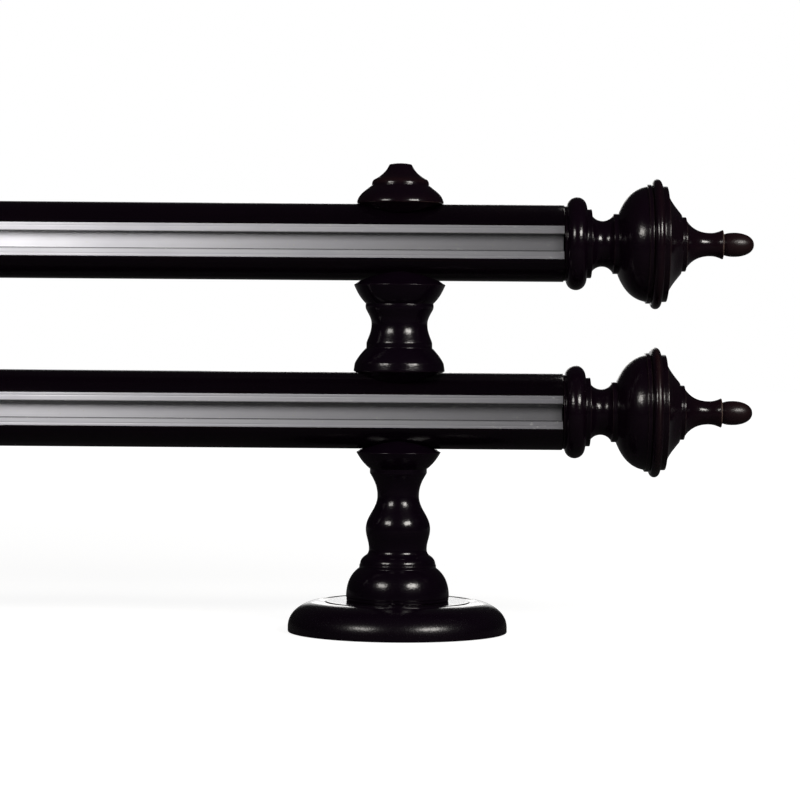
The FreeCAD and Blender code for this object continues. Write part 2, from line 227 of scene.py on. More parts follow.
# Section carried along X: point(i, s) = section(s) - inset(i) * outward(s); the inset eases both ends.
def drawnPiece(name, points, shape, half, axisHeight, stained):
    chain, normal, arris = easedChain(points, shape["ease"], True, shape["coarse"], shape["turn"])
    endEase = shape["endEase"]
    t = np.linspace(0, np.pi / 2, drawnRule["endRows"])
    endX = half - endEase + endEase * np.sin(t)
    drop = endEase * (1 - np.cos(t))
    middle = half - drawnRule["middleFrom"]
    x = np.r_[-endX[::-1], np.linspace(-middle, middle, drawnRule["middleRows"]), endX]
    inset = np.r_[drop[::-1], np.zeros(drawnRule["middleRows"]), drop]
    flat = chain[None] - inset[:, None, None] * normal[None]
    columns = len(chain)
    along = np.broadcast_to(x[:, None], flat.shape[:2])
    vertices = np.stack([along, flat[..., 0], flat[..., 1] + axisHeight], axis=-1).reshape(-1, 3)
    j = np.arange(columns)
    caps = [j[::-1].tolist(), ((len(x) - 1) * columns + j).tolist()]
    faces = gridFaces(len(x), columns, False).tolist() + caps
    # the eased ends are marked as arrises: on the tracks that paints a highlight, on the poles it rubs the
    # lacquer
    endMark = np.clip(inset / endEase * 2, 0, 1)[:, None]
    # On the tracks the stain mark holds painted shade of the slot's edges and pockets; on the poles it is the
    # lacquer's stain.
    marks = {"arris": np.maximum(arris[None] + 0 * endMark, endMark * drawnRule["endArris"]).ravel(),
             "stain": np.tile(stained(chain), len(x))}
    return newObject(name, vertices, faces, marks)


# Easing of the cutters, and the angle in degrees from which an edge of a drilled piece is sharp
drillRule = dict(ease=0.05, sharpAngle=38.0)


# Cuts holes with closed turned cutters and keeps the result as the piece's own mesh.
def drilled(piece, cutters):
    for cutter in cutters:
        hole = piece.modifiers.new("hole", "BOOLEAN")
        hole.operation, hole.solver, hole.object = "DIFFERENCE", "EXACT", cutter
    whole = piece.evaluated_get(bpy.context.evaluated_depsgraph_get())
    mesh = bpy.data.meshes.new_from_object(whole)
    piece.modifiers.clear()
    old = piece.data
    piece.data = mesh
    bpy.data.meshes.remove(old)
    mesh.name = piece.name
    mesh.set_sharp_from_angle(angle=math.radians(drillRule["sharpAngle"]))
    for cutter in cutters:
        bpy.data.meshes.remove(cutter.data)
    return piece


def upright(x, z, y=0.0):
    return lambda v: v + np.array([x, y, z])


# Lays a turned piece along X at a pole's end: its axis turns onto +X (side 1) or -X (side -1).
def alongPole(side, axisHeight):
    return lambda v: np.column_stack([side * (v[:, 2] + poleHalf), v[:, 1], axisHeight - side * v[:, 0]])


# Scoops seats: heights are held below one pole's underside and above another pole's crest,
# underside(y) = axis - sqrt(seat radius squared - y squared), crest(y) the same above the axis.
def coped(place, under=None, over=None):
    def cut(v):
        v = place(v).copy()
        reach = np.sqrt(np.maximum(seat["radius"]**2 - v[:, 1]**2, 0))
        if under is not None:
            v[:, 2] = np.minimum(v[:, 2], under - reach)
        if over is not None:
            v[:, 2] = np.maximum(v[:, 2], over + reach)
        return v
    return cut


# Shader nodes
class Wire:
    # one output socket; arithmetic on it adds Math nodes
    def __init__(self, tree, socket):
        self.tree, self.socket = tree, socket

    def math(self, operation, first, second=0.0, clamp=False):
        node = self.tree.nodes.new("ShaderNodeMath")
        node.operation, node.use_clamp = operation, clamp
        for slot, value in zip(node.inputs, (first, second)):
            if isinstance(value, Wire):
                self.tree.links.new(value.socket, slot)
            else:
                slot.default_value = value
        return Wire(self.tree, node.outputs[0])

    def __add__(self, other):
        return self.math("ADD", self, other)

    def __radd__(self, other):
        return self.math("ADD", other, self)

    def __sub__(self, other):
        return self.math("SUBTRACT", self, other)

    def __rsub__(self, other):
        return self.math("SUBTRACT", other, self)

    def __mul__(self, other):
        return self.math("MULTIPLY", self, other)

    def __rmul__(self, other):
        return self.math("MULTIPLY", other, self)

    def __truediv__(self, other):
        return self.math("DIVIDE", self, other)

    def __rtruediv__(self, other):
        return self.math("DIVIDE", other, self)

    # without its sign
    def size(self):
        return self.math("ABSOLUTE", self)

    # kept from 0 to 1
    def held(self):
        return self.math("ADD", self, 0.0, True)

    # 0 up to the start, then rising by the slope to 1
    def over(self, start, slope):
        return ((self - start) * slope).held()

    # 0 at the first level, 1 at the second
    def between(self, first, second):
        return ((self - first) / (second - first)).held()


class Bench:
    # a node tree being wired
    def __init__(self, owner):
        owner.use_nodes = True
        self.tree = owner.node_tree
        self.tree.nodes.clear()

    def node(self, kind, settings, values, out=0):
        made = self.tree.nodes.new(kind)
        for key, value in settings.items():
            setattr(made, key, value)
        for key, value in values.items():
            if isinstance(value, Wire):
                self.tree.links.new(value.socket, made.inputs[key])
            else:
                made.inputs[key].default_value = value
        return Wire(self.tree, made.outputs[out]) if len(made.outputs) else None

    def place(self):
        return self.node("ShaderNodeTexCoord", {}, {}, "Object")

    def scaled(self, vector, scale):
        return self.node("ShaderNodeMapping", {"vector_type": "POINT"}, {"Vector": vector, "Scale": scale})

    def noise(self, vector, scale, detail=2.0, roughness=0.5):
        values = {"Vector": vector, "Scale": scale, "Detail": detail, "Roughness": roughness}
        return self.node("ShaderNodeTexNoise", {"noise_dimensions": "3D"}, values, "Fac")

    # simple noise with spots of about this many millimetres, each 0.6 of a cell wide
    def spots(self, vector, size):
        return self.noise(vector, 0.6 / (size * mm), detail=1.0)

    def parts(self, vector):
        split = self.node("ShaderNodeSeparateXYZ", {}, {0: vector}).socket.node
        return [Wire(self.tree, part) for part in split.outputs]

    # camera rays, and rays that show the background in metal and gloss
    def rays(self):
        path = self.node("ShaderNodeLightPath", {}, {}).socket.node.outputs
        kinds = ("Camera", "Glossy", "Transmission")
        seen, glossy, through = (Wire(self.tree, path[f"Is {kind} Ray"]) for kind in kinds)
        return seen, (glossy + through).held()

    def mark(self, name):
        settings = {"attribute_type": "GEOMETRY", "attribute_name": name}
        return self.node("ShaderNodeAttribute", settings, {}, "Fac")

    def mixed(self, share, first, second):
        first = first if isinstance(first, Wire) else (*first, 1)
        second = second if isinstance(second, Wire) else (*second, 1)
        return self.node("ShaderNodeMix", {"data_type": "RGBA"}, {0: share, 6: first, 7: second}, 2)

    # a relief of this depth in millimetres, over another one where given
    def bump(self, height, depth, strength=1.0, below=None):
        values = {"Height": height, "Distance": depth * mm, "Strength": strength}
        if below is not None:
            values["Normal"] = below
        return self.node("ShaderNodeBump", {}, values)

    def surface(self, values):
        shader = self.node("ShaderNodeBsdfPrincipled", {}, values)
        self.node("ShaderNodeOutputMaterial", {}, {"Surface": shader})


# Lacquered wood. A pair is where something starts and how steeply it rises.
lacquerLook = dict(
    black=(0.0028, 0.0009, 0.0034), brown=(0.024, 0.0088, 0.0068), rubbed=(0.13, 0.085, 0.068), specular=0.36,
    fibre=0.05, patchScale=26.0, streakScale=520.0, poreSize=0.5, poreDepth=0.05, peelSize=1.4,
    peelDepth=0.012, pits=(0.56, 7.0), openPores=(0.42, 5.0), poreLeast=0.6, poreMore=0.5,
    tint=dict(base=0.35, streaks=0.7, patches=1.2),
    rub=dict(arris=1.1, stain=0.55, patches=1.6, streaks=1.2, worn=(0.72, 3.0), least=0.02),
    matt=dict(base=0.17, patches=0.06, pits=0.05, worn=0.15, stained=(0.25, 0.8), dome=0.08),
    polishDepth=3.0, polishFade=1.6, coatIor=1.25, coatRoughness=0.08,
)


# The grain draws the streaks out along the fibre. Above a height, where given, the lacquer is polished.
def lacquer(name, grain, polishedAbove=None):
    look = lacquerLook
    tint, rub, matt = look["tint"], look["rub"], look["matt"]
    material = bpy.data.materials.new(name)
    bench = Bench(material)
    place = bench.place()
    patches = bench.noise(place, look["patchScale"])
    streaks = bench.noise(bench.scaled(place, grain), look["streakScale"], detail=3.0, roughness=0.6)
    pores = bench.spots(place, look["poreSize"])
    peel = bench.spots(place, look["peelSize"])
    arris, stain = bench.mark("arris"), bench.mark("stain")
    uneven, streaky = patches - 0.5, streaks - 0.5  # either side of zero
    pits = pores.over(*look["pits"])
    tinted = (stain * (tint["base"] + streaks * tint["streaks"] + uneven * tint["patches"])).held()
    rubbing = arris * rub["arris"] + stain * rub["stain"] + uneven * rub["patches"] + streaky * rub["streaks"]
    worn = rubbing.over(*rub["worn"]) * (rub["least"] + stain)
    colour = bench.mixed(tinted, look["black"], look["brown"])
    colour = bench.mixed(worn, colour, look["rubbed"])
    rough = matt["base"] + uneven * matt["patches"] + pits * matt["pits"] + worn * matt["worn"]
    rough = rough + stain.over(*matt["stained"])
    openness = look["poreLeast"] + patches.over(*look["openPores"]) * look["poreMore"]
    relief = bench.bump(pores * openness, look["poreDepth"])
    relief = bench.bump(peel, look["peelDepth"], below=relief)
    polish = 0.0
    if polishedAbove is not None:
        polish = ((bench.parts(place)[2] / mm - polishedAbove) / look["polishFade"]).held()
        rough = rough + (1 - polish) * matt["dome"]
    bench.surface({"Base Color": colour, "Roughness": rough, "Specular IOR Level": look["specular"],
                   "Normal": relief, "Coat Weight": polish, "Coat IOR": look["coatIor"],
                   "Coat Roughness": look["coatRoughness"]})
    return material


fibre = lacquerLook["fibre"]
poleLacquer = lacquer("lacquerAlongPole", (fibre, 1.0, 1.0))
armLacquer = lacquer("lacquerUpright", (1.0, 1.0, fibre))
roseLacquer = lacquer("lacquerRose", (1.0, fibre, 1.0), roseTop - lacquerLook["polishDepth"])  # polished face

# Drawn aluminium of the tracks; a stretch below 1 draws a pattern out along them
trackLook = dict(
    # the bright colour is a painted highlight on the tracks' arrises and eased ends
    metal=(0.82, 0.815, 0.855), dull=(0.65, 0.645, 0.695), bright=(0.94, 0.935, 0.98),
    # the first colour here is painted shade along the slot's edges and in the pockets behind the lips
    paintedShade=(0.05, 0.05, 0.055), dust=(0.75, 0.75, 0.74), roughness=0.5, lipBelow=-12.0, lipRougher=0.1,
    dieLines=dict(stretch=0.0004, scale=2600.0, dulls=0.6, roughens=0.1, depth=0.0015, strength=0.6),
    smears=dict(stretch=0.25, scale=90.0, dulls=1.4, base=0.25, roughens=0.12),
    scratches=dict(stretch=0.008, scale=1500.0, over=(0.68, 9.0), smooths=0.08),
    specks=dict(size=0.6, over=(0.685, 14.0)),
)


def drawnAluminium(name):
    look = trackLook
    line, smear, scratch, speck = (look[key] for key in ("dieLines", "smears", "scratches", "specks"))
    material = bpy.data.materials.new(name)
    bench = Bench(material)
    place = bench.place()

    def drawnOut(pattern):
        return bench.scaled(place, (pattern["stretch"], 1.0, 1.0))

    dieLines = bench.noise(drawnOut(line), line["scale"], roughness=0.6)
    lined = dieLines - 0.5
    smeared = bench.noise(drawnOut(smear), smear["scale"], detail=3.0, roughness=0.6) - 0.5
    scratches = bench.noise(drawnOut(scratch), scratch["scale"], detail=1.0).over(*scratch["over"])
    # on the tracks the stain mark holds painted shade along the slot's edges and in the pockets
    paintedShade = bench.mark("stain")
    specks = bench.spots(place, speck["size"]).over(*speck["over"]) * (1 - paintedShade)
    onLip = (look["lipBelow"] - bench.parts(place)[1] / mm).held()
    dull = (smeared * smear["dulls"] + smear["base"] + lined * line["dulls"]).held()
    colour = bench.mixed(dull, look["metal"], look["dull"])
    # painted highlight: the arrises and the eased ends are painted brighter
    colour = bench.mixed(bench.mark("arris"), colour, look["bright"])
    # painted shade: the slot's edges and the pockets are darkened here
    colour = bench.mixed(paintedShade, colour, look["paintedShade"])
    colour = bench.mixed(specks, colour, look["dust"])
    rough = look["roughness"] + smeared * smear["roughens"] + lined * line["roughens"]
    rough = rough - scratches * scratch["smooths"] + onLip * look["lipRougher"]
    relief = bench.bump(dieLines, line["depth"], line["strength"])
    bench.surface({"Base Color": colour, "Roughness": rough, "Metallic": 1 - specks, "Normal": relief})
    return material


trackMetal = drawnAluminium("drawnAluminium")


# Steel and brass, which show only at the back of the rose
metals = dict(
    zincSteel=dict(metal=(0.60, 0.60, 0.60), stained=(0.46, 0.45, 0.43), roughness=0.34),
    machinedBrass=dict(metal=(0.74, 0.56, 0.27), stained=(0.52, 0.37, 0.16), roughness=0.3),
)
clouding = dict(scale=180.0, over=(0.45, 2.5), roughens=0.2, fineScale=2200.0, fineDepth=0.006,
                fineStrength=0.5)


def turnedMetal(name):
    look = metals[name]
    material = bpy.data.materials.new(name)
    bench = Bench(material)
    place = bench.place()
    cloud = bench.noise(place, clouding["scale"], detail=3.0, roughness=0.6)
    fine = bench.noise(place, clouding["fineScale"], detail=1.0)
    colour = bench.mixed(cloud.over(*clouding["over"]), look["metal"], look["stained"])
    rough = look["roughness"] + (cloud - 0.5) * clouding["roughens"]
    relief = bench.bump(fine, clouding["fineDepth"], clouding["fineStrength"])
    bench.surface({"Base Color": colour, "Roughness": rough, "Metallic": 1.0, "Normal": relief})
    return material


zincSteel, machinedBrass = (turnedMetal(name) for name in metals)
for node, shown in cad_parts.items():
    if any(word in node for word in ("rod", "screw", "insert")):
        shown.data.materials.clear()
        shown.data.materials.append(machinedBrass if "insert" in node else zincSteel)
print("materials wired")


pieces = {}


def finish(piece, node, material):
    pieces[node] = piece
    piece.data.materials.clear()
    piece.data.materials.append(material)
    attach(piece, "root")
    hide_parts(node)


# Seats, shared by everything that stands on a pole
seat = dict(radius=17.6, clearance=0.1, core=11.0, slope=33.0, rodBore=3.25)


def seatRise(rim):
    return (rim - seat["core"]) * math.tan(math.radians(seat["slope"]))


# Wall roses
rose = dict(radius=50.0, edge=2.3, dome=11.8, crown=35.8, groove=3.2, grooveDepth=0.6, domeLean=-84.0,
            recess=11.5, recessDepth=9.1, screwY=28.0, screwHole=2.25, screwHead=4.3, ease=0.28, columns=144,
            cutRoom=1.0, holeColumns=48)


def rosePoints():
    thick = rose["edge"] + rose["dome"]
    p = Turning(rose["recess"])
    p.step(rose["radius"])
    p.band(rose["edge"])
    p.curve(rose["crown"], rose["dome"], 0, rose["domeLean"])
    p.bow(rose["crown"] - rose["groove"], 0.0, -rose["grooveDepth"])
    p.step(seat["rodBore"])
    p.band(rose["recessDepth"] - thick)
    p.step(rose["recess"])
    p.band(-rose["recessDepth"])
    return p.points()[:-1]


def screwHolePoints():
    thick = rose["edge"] + rose["dome"]
    sink = rose["screwHead"] - rose["screwHole"]
    room = rose["cutRoom"]
    p = Turning(0.0, -room)
    p.step(rose["screwHole"])
    p.band(thick - sink + room)
    p.taper(rose["screwHead"] + room, sink + room)
    p.step(0.0)
    return p.points()


for side, sign in sides.items():
    disc = turnedPiece(f"turned_rose_{side}", rosePoints(), rose["ease"], True, rose["columns"],
                       upright(sign * bracketX, 0.0))
    holes = [turnedPiece(f"hole_{k}", screwHolePoints(), drillRule["ease"], False, rose["holeColumns"],
                         upright(sign * bracketX, 0.0, k * rose["screwY"])) for k in (-1, 1)]
    finish(drilled(disc, holes), f"wall_rose_{side}", roseLacquer)
print("roses turned")

# Lower spindles
lower = dict(
    footBead=23.2, footBeadHeight=1.6, footBeadSwell=0.12, footDome=23.5, footDomeHeight=13.4,
    footDomeTop=17.75, footDomeLean=-52.0, collar=17.5, collarHeight=1.6, collarQuirk=0.3, roundHeight=4.6,
    roundTop=14.0, roundLean=-60.0, waist=13.2, waistHeight=2.5, waistLean=-35.0, swell=14.7, swellHeight=9.1,
    neck=9.5, neckHeight=15.1, flare=13.0, flareHeight=10.4, flareLean=32.0, ringHeight=2.1, cupQuirk=0.25,
    cupHeight=7.5, cupRim=19.3, cupFootLean=50.0, cupRimLean=30.0, ease=0.2, coarse=1.2, columns=112,
)


def lowerPoints():
    s = lower
    p = Turning(seat["rodBore"])
    p.step(s["footBead"])
    p.bow(s["footBead"], s["footBeadHeight"], s["footBeadSwell"])
    p.step(s["footDome"])
    p.curve(s["footDomeTop"], s["footDomeHeight"], 0, s["footDomeLean"])
    p.step(s["collar"])
    p.band(s["collarHeight"])
    p.step(s["collar"] - s["collarQuirk"])
    p.curve(s["roundTop"], s["roundHeight"], 0, s["roundLean"])
    p.curve(s["waist"], s["waistHeight"], s["waistLean"], 0)
    p.curve(s["swell"], s["swellHeight"], 0, 0)
    p.curve(s["neck"], s["neckHeight"], 0, 0)
    p.curve(s["flare"], s["flareHeight"], 0, s["flareLean"])
    p.band(s["ringHeight"])
    p.step(s["flare"] + s["cupQuirk"])
    p.curve(s["cupRim"], s["cupHeight"], s["cupFootLean"], s["cupRimLean"])
    p.taper(seat["core"], seatRise(s["cupRim"]))
    p.step(seat["rodBore"])
    p.band(-p.here()[1])
    return p.points()[:-1]


# Upper spindles
upper = dict(
    rimLift=0.45, rim=20.8, rimHeight=3.3, rimLean=-8.5, rimTop=20.31, arrisHeight=0.5, arris=20.15,
    arrisLean=-27.0, bellHeight=10.4, bellTop=15.3, bellLean=-42.0, ring=15.0, ringHeight=2.55, waist=12.75,
    waistHeight=8.4, waistFootLean=-20.0, waistTopLean=27.0, coveHeight=15.2, bowlRing=15.3,
    bowlRingHeight=2.75, bowlRingSwell=0.24, bowlQuirk=0.25, bowlHeight=8.45, bowlRim=20.9, bowlFootLean=45.0,
    bowlRimLean=24.0, ease=0.25, coarse=1.2, columns=112,
)


def upperPoints():
    s = upper
    p = Turning(seat["rodBore"])
    p.step(seat["core"])
    p.taper(s["rim"], seatRise(s["rim"]))
    p.taper(s["rimTop"], s["rimHeight"])
    p.curve(s["arris"], s["arrisHeight"], s["rimLean"], s["arrisLean"])
    bellRise = s["bellHeight"] - s["rimHeight"] - s["arrisHeight"]
    p.curve(s["bellTop"], bellRise, s["arrisLean"], s["bellLean"])
    p.step(s["ring"])
    p.band(s["ringHeight"])
    p.curve(s["waist"], s["waistHeight"], s["waistFootLean"], 0)
    p.curve(s["bowlRing"], s["coveHeight"] - s["waistHeight"], 0, s["waistTopLean"])
    p.bow(s["bowlRing"], s["bowlRingHeight"], s["bowlRingSwell"])
    p.step(s["bowlRing"] + s["bowlQuirk"])
    p.curve(s["bowlRim"], s["bowlHeight"], s["bowlFootLean"], s["bowlRimLean"])
    p.taper(seat["core"], seatRise(s["bowlRim"]))
    p.step(seat["rodBore"])
    p.band(-p.here()[1])
    return p.points()[:-1]


# Top caps
cap = dict(
    rimLift=0.36, rim=19.8, domeHeight=7.85, domeTop=13.4, rimLean=-8.0, domeLean=-50.0, band=13.0,
    bandHeight=1.9, bandTop=12.75, bandFootLean=4.0, bandTopLean=-24.0, edge=12.1, edgeHeight=0.9,
    edgeLean=-55.0, flareHeight=6.9, flareFootLean=-60.0, flareTopLean=-22.0, top=5.1, crownHeight=0.6,
    crownLean=-74.0, insertBore=4.55, insertTop=9.9, rodRoom=1.5, ease=0.25, coarse=1.2, columns=112,
    stain=((0, 6, 10, 14, 15.2, 16.2, 17.5, 30), (0, .16, .06, .08, .3, .3, .1, 0)),
)


def capPoints():
    s = cap
    foot = seatRise(s["rim"]) - s["rimLift"]  # the pole's crest, from the blank's foot
    p = Turning(0.0, foot + s["insertTop"] + s["rodRoom"])
    p.step(seat["rodBore"])
    p.band(-s["rodRoom"])
    p.step(s["insertBore"])
    p.band(-p.here()[1])
    p.step(seat["core"])
    p.taper(s["rim"], seatRise(s["rim"]))
    p.curve(s["domeTop"], s["domeHeight"], s["rimLean"], s["domeLean"])
    p.step(s["band"])
    p.curve(s["bandTop"], s["bandHeight"], s["bandFootLean"], s["bandTopLean"])
    p.curve(s["edge"], s["edgeHeight"], s["bandTopLean"], s["edgeLean"])
    p.curve(s["top"], s["flareHeight"], s["flareFootLean"], s["flareTopLean"])
    p.curve(0.0, s["crownHeight"], s["crownLean"], -90)
    return p.points()


for side, sign in sides.items():
    x = sign * bracketX
    inner, outer = poleAxis["inner"], poleAxis["outer"]
    radius = seat["radius"] - seat["clearance"]
    arm = turnedPiece(f"turned_lower_spindle_{side}", lowerPoints(), lower["ease"], True, lower["columns"],
                      coped(upright(x, roseTop), under=inner), coarse=lower["coarse"])
    finish(arm, f"lower_spindle_{side}", armLacquer)
    foot = inner + radius + upper["rimLift"] - seatRise(upper["rim"])
    arm = turnedPiece(f"turned_upper_spindle_{side}", upperPoints(), upper["ease"], True, upper["columns"],
                      coped(upright(x, foot), under=outer, over=inner), coarse=upper["coarse"])
    arm.visible_glossy = False  # keeps its bright spots off the poles' undersides
    finish(arm, f"upper_spindle_{side}", armLacquer)
    foot = outer + radius + cap["rimLift"] - seatRise(cap["rim"])
    button = turnedPiece(f"turned_top_cap_{side}", capPoints(), cap["ease"], False, cap["columns"],
                         coped(upright(x, foot), over=outer), cap["stain"], cap["coarse"])
    finish(button, f"top_cap_{side}", armLacquer)
print("arms and caps turned")

# Poles
pole = dict(radius=17.5, grooveHalf=7.75, grooveBottom=-6.49, screwBore=3.05, screwDepth=23.0, ease=0.3,
            endEase=0.4, sectionRows=400, coarse=1.6, turn=0.09, stain=0.03, cutRoom=2.0, boreColumns=40)


# Section: a circle left open at the groove, then the groove's wall, floor and wall.
def poleSection():
    start = math.asin(pole["grooveHalf"] / pole["radius"])
    a = np.linspace(2 * np.pi - start, start, pole["sectionRows"])
    circle = pole["radius"] * np.column_stack([-np.cos(a), np.sin(a)])
    bottom, half = pole["grooveBottom"], pole["grooveHalf"]
    return np.vstack([circle, [[bottom, half], [bottom, -half]]])


def bore(radius, low, high, place):
    p = Turning(0.0, low)
    p.step(radius)
    p.band(high - low)
    p.step(0.0)
    return turnedPiece("bore", p.points(), drillRule["ease"], False, pole["boreColumns"], place)


for name in poleNames:
    axis = poleAxis[name]
    bar = drawnPiece(f"drawn_{name}_pole", poleSection(), pole, poleHalf, axis,
                     lambda chain: np.full(len(chain), pole["stain"]))
    room = pole["cutRoom"]
    reach = pole["radius"] + room
    bores = [bore(seat["rodBore"], -reach, reach, upright(sign * bracketX, axis)) for sign in (1, -1)]
    bores += [bore(pole["screwBore"], -pole["screwDepth"], room, alongPole(sign, axis)) for sign in (1, -1)]
    finish(drilled(bar, bores), f"{name}_pole", poleLacquer)
print("poles drawn")

# Tracks
track = dict(width=15.0, face=-15.49, back=-6.49, wall=1.2, slot=7.3, lineInset=1.0, lineWidth=0.5,
             lineDepth=0.08, endGap=0.4, ease=0.1, endEase=0.15, coarse=0.4, turn=0.16,
             # painted shade: its reach from the slot's edges and its strength in the pockets
             paintedShadeReach=0.4, pocketPaintedShade=0.85, lipMargin=0.5, wallMargin=0.6)


# Section: half a C from the channel's corner round the lip to the back, then its mirror image.
def trackSection():
    s = track
    half, slot, inner = s["width"] / 2, s["slot"] / 2, s["width"] / 2 - s["wall"]
    face, back, behind = s["face"], s["back"], s["face"] + s["wall"]
    line, wide = half - s["lineInset"], s["lineWidth"]
    lip = np.array([
        [back - s["wall"], inner], [behind, inner], [behind, slot], [face, slot], [face, line - wide],
        [face + s["lineDepth"], line - wide / 2], [face, line], [face, half], [back, half]])
    return np.vstack([lip * [1, -1], lip[::-1]])


# Painted shade along the slot's two edges, exp(-(distance / reach)^2) from each edge, and over both pockets
# behind the lips
def slotPaintedShade(chain):
    s = track
    slot, deep, off = s["slot"] / 2, chain[:, 0], np.abs(chain[:, 1])
    edges = np.array([[s["face"], slot], [s["face"], -slot]])
    near = np.linalg.norm(chain[:, None] - edges[None], axis=-1).min(axis=1)
    inPocket = (off > slot + s["lipMargin"]) & (off < s["width"] / 2 - s["wallMargin"])
    inPocket &= (deep > s["face"] + s["wallMargin"]) & (deep < s["back"] - s["wallMargin"])
    return np.maximum(np.exp(-(near / s["paintedShadeReach"])**2), s["pocketPaintedShade"] * inPocket)


for name in poleNames:
    # The tracks' stain mark is painted shade along the slot's edges and in the pockets.
    rail = drawnPiece(f"drawn_{name}_track", trackSection(), track, poleHalf - track["endGap"],
                      poleAxis[name], slotPaintedShade)
    rail.visible_glossy = False  # keeps a streak off the finials
    finish(rail, f"{name}_track", trackMetal)
print("tracks drawn")

# Finials
finialShape = dict(
    shoulder=17.0, shoulderLength=1.05, collarLength=9.2, collarSwell=4.2, disc=15.7, discLength=2.25,
    cove=13.2, coveLength=9.8, coveDepth=2.8, ring=13.7, ringLength=2.35, bowlFoot=14.2, bowl=26.3,
    bowlLength=12.75, bowlFootLean=68.0, bowlLean=10.0, fillet=27.1, filletLength=1.9, quirk=26.5,
    quirkLength=0.35, beadFoot=27.4, beadLength=4.5, beadSwell=2.2, backFillet=26.3, backFilletLength=2.6,
    bell=23.6, bellLength=6.6, bellFootLean=-68.0, bellTip=13.6, bellTipLean=-51.0, stepRadius=12.4,
    stepLength=2.1, horn=11.3, hornLength=11.2, hornLean=-58.0, neck=5.3, flare=6.65, flareLength=5.4,
    flareLean=24.0, lipLength=0.4, eggFoot=4.65, eggFootLength=5.2, eggFootLean=22.0, egg=5.5, eggLength=8.9,
    ease=0.2, columns=112,
    beadAt=(41, 43), beadRub=dict(inner=2.2, outer=1.0),  # the bead is rubbed more on the inner pole
    stain=((0, 4, 11, 24, 36, 39.6, 40.6, 41.3, 42.3, 43.4, 44.5,
            54, 56, 60, 66, 71.6, 72, 72.5, 73, 80, 87),
           (.03, .05, .04, .04, .04, .06, .08, .12, .2, .15, .08,
            .08, .1, .16, .2, .24, .6, .6, .3, .45, .45)),
)


def finialPoints():
    s = finialShape
    p = Turning(0.0, pole["screwDepth"])
    p.step(pole["screwBore"])
    p.band(-pole["screwDepth"])
    p.step(s["shoulder"])
    p.band(s["shoulderLength"])
    p.bow(s["shoulder"], s["collarLength"], s["collarSwell"])
    p.step(s["disc"])
    p.band(s["discLength"])
    p.step(s["cove"])
    p.bow(s["cove"], s["coveLength"], -s["coveDepth"])
    p.step(s["ring"])
    p.band(s["ringLength"])
    p.step(s["bowlFoot"])
    p.curve(s["bowl"], s["bowlLength"], s["bowlFootLean"], s["bowlLean"])
    p.step(s["fillet"])
    p.band(s["filletLength"])
    p.step(s["quirk"])
    p.band(s["quirkLength"])
    p.step(s["beadFoot"])
    p.bow(s["beadFoot"], s["beadLength"], s["beadSwell"])
    p.step(s["backFillet"])
    p.band(s["backFilletLength"])
    p.step(s["bell"])
    p.curve(s["bellTip"], s["bellLength"], s["bellFootLean"], s["bellTipLean"])
    p.step(s["stepRadius"])
    p.band(s["stepLength"])
    p.step(s["horn"])
    p.curve(s["neck"], s["hornLength"], s["hornLean"], 0)
    p.curve(s["flare"], s["flareLength"], 0, s["flareLean"])
    p.band(s["lipLength"])
    p.step(s["eggFoot"])
    p.curve(s["egg"], s["eggFootLength"], s["eggFootLean"], 0)
    p.curve(0.0, s["eggLength"], 0, -90)
    return p.points()


heights, values = (np.array(row) for row in finialShape["stain"])
beadFrom, beadTo = finialShape["beadAt"]
onBead = (heights > beadFrom) & (heights < beadTo)
for name in poleNames:
    stain = heights, np.where(onBead, values * finialShape["beadRub"][name], values)
    for side, sign in sides.items():
        knob = turnedPiece(f"turned_{name}_finial_{side}", finialPoints(), finialShape["ease"], False,
                           finialShape["columns"], alongPole(sign, poleAxis[name]), stain)
        finish(knob, f"{name}_finial_{side}", poleLacquer)
print("finials turned")

# Floor
floorLook = dict(half=6.0, drop=0.0002, colour=0.32, bench=0.05, near=0.86, white=(0.5, 2.2),
                 back=(0.12, 0.7), shown=0.07, grainScale=900.0, grainTone=0.02)
square = np.array([[-1, -1], [1, -1], [1, 1], [-1, 1]]) * floorLook["half"]
sheet = np.column_stack([square, np.full(4, -floorLook["drop"])])
floor = newObject("floor", sheet / mm, [[0, 1, 2, 3]], {})
paper = bpy.data.materials.new("paleFloor")
bench = Bench(paper)
spot = bench.place()
ray, shine = bench.rays()
away = bench.node("ShaderNodeVectorMath", {"operation": "LENGTH"}, {0: spot}, "Value")
far = away.between(*floorLook["white"])
back = bench.parts(spot)[1].between(*floorLook["back"])
lift = ray * (floorLook["near"] + (1 - floorLook["near"]) * far) + shine * back * floorLook["shown"]
grain = bench.noise(spot, floorLook["grainScale"])
paleTone = floorLook["colour"] + (grain - 0.5) * floorLook["grainTone"]
tone = paleTone * (1 - shine) + shine * floorLook["bench"]
shade = bench.node("ShaderNodeCombineColor", {}, {0: tone, 1: tone, 2: tone})
matt = bench.node("ShaderNodeBsdfDiffuse", {}, {"Color": shade})
glow = bench.node("ShaderNodeEmission", {}, {"Strength": lift})
both = bench.node("ShaderNodeAddShader", {}, {0: matt, 1: glow})
bench.node("ShaderNodeOutputMaterial", {}, {"Surface": both})
floor.data.materials.append(paper)

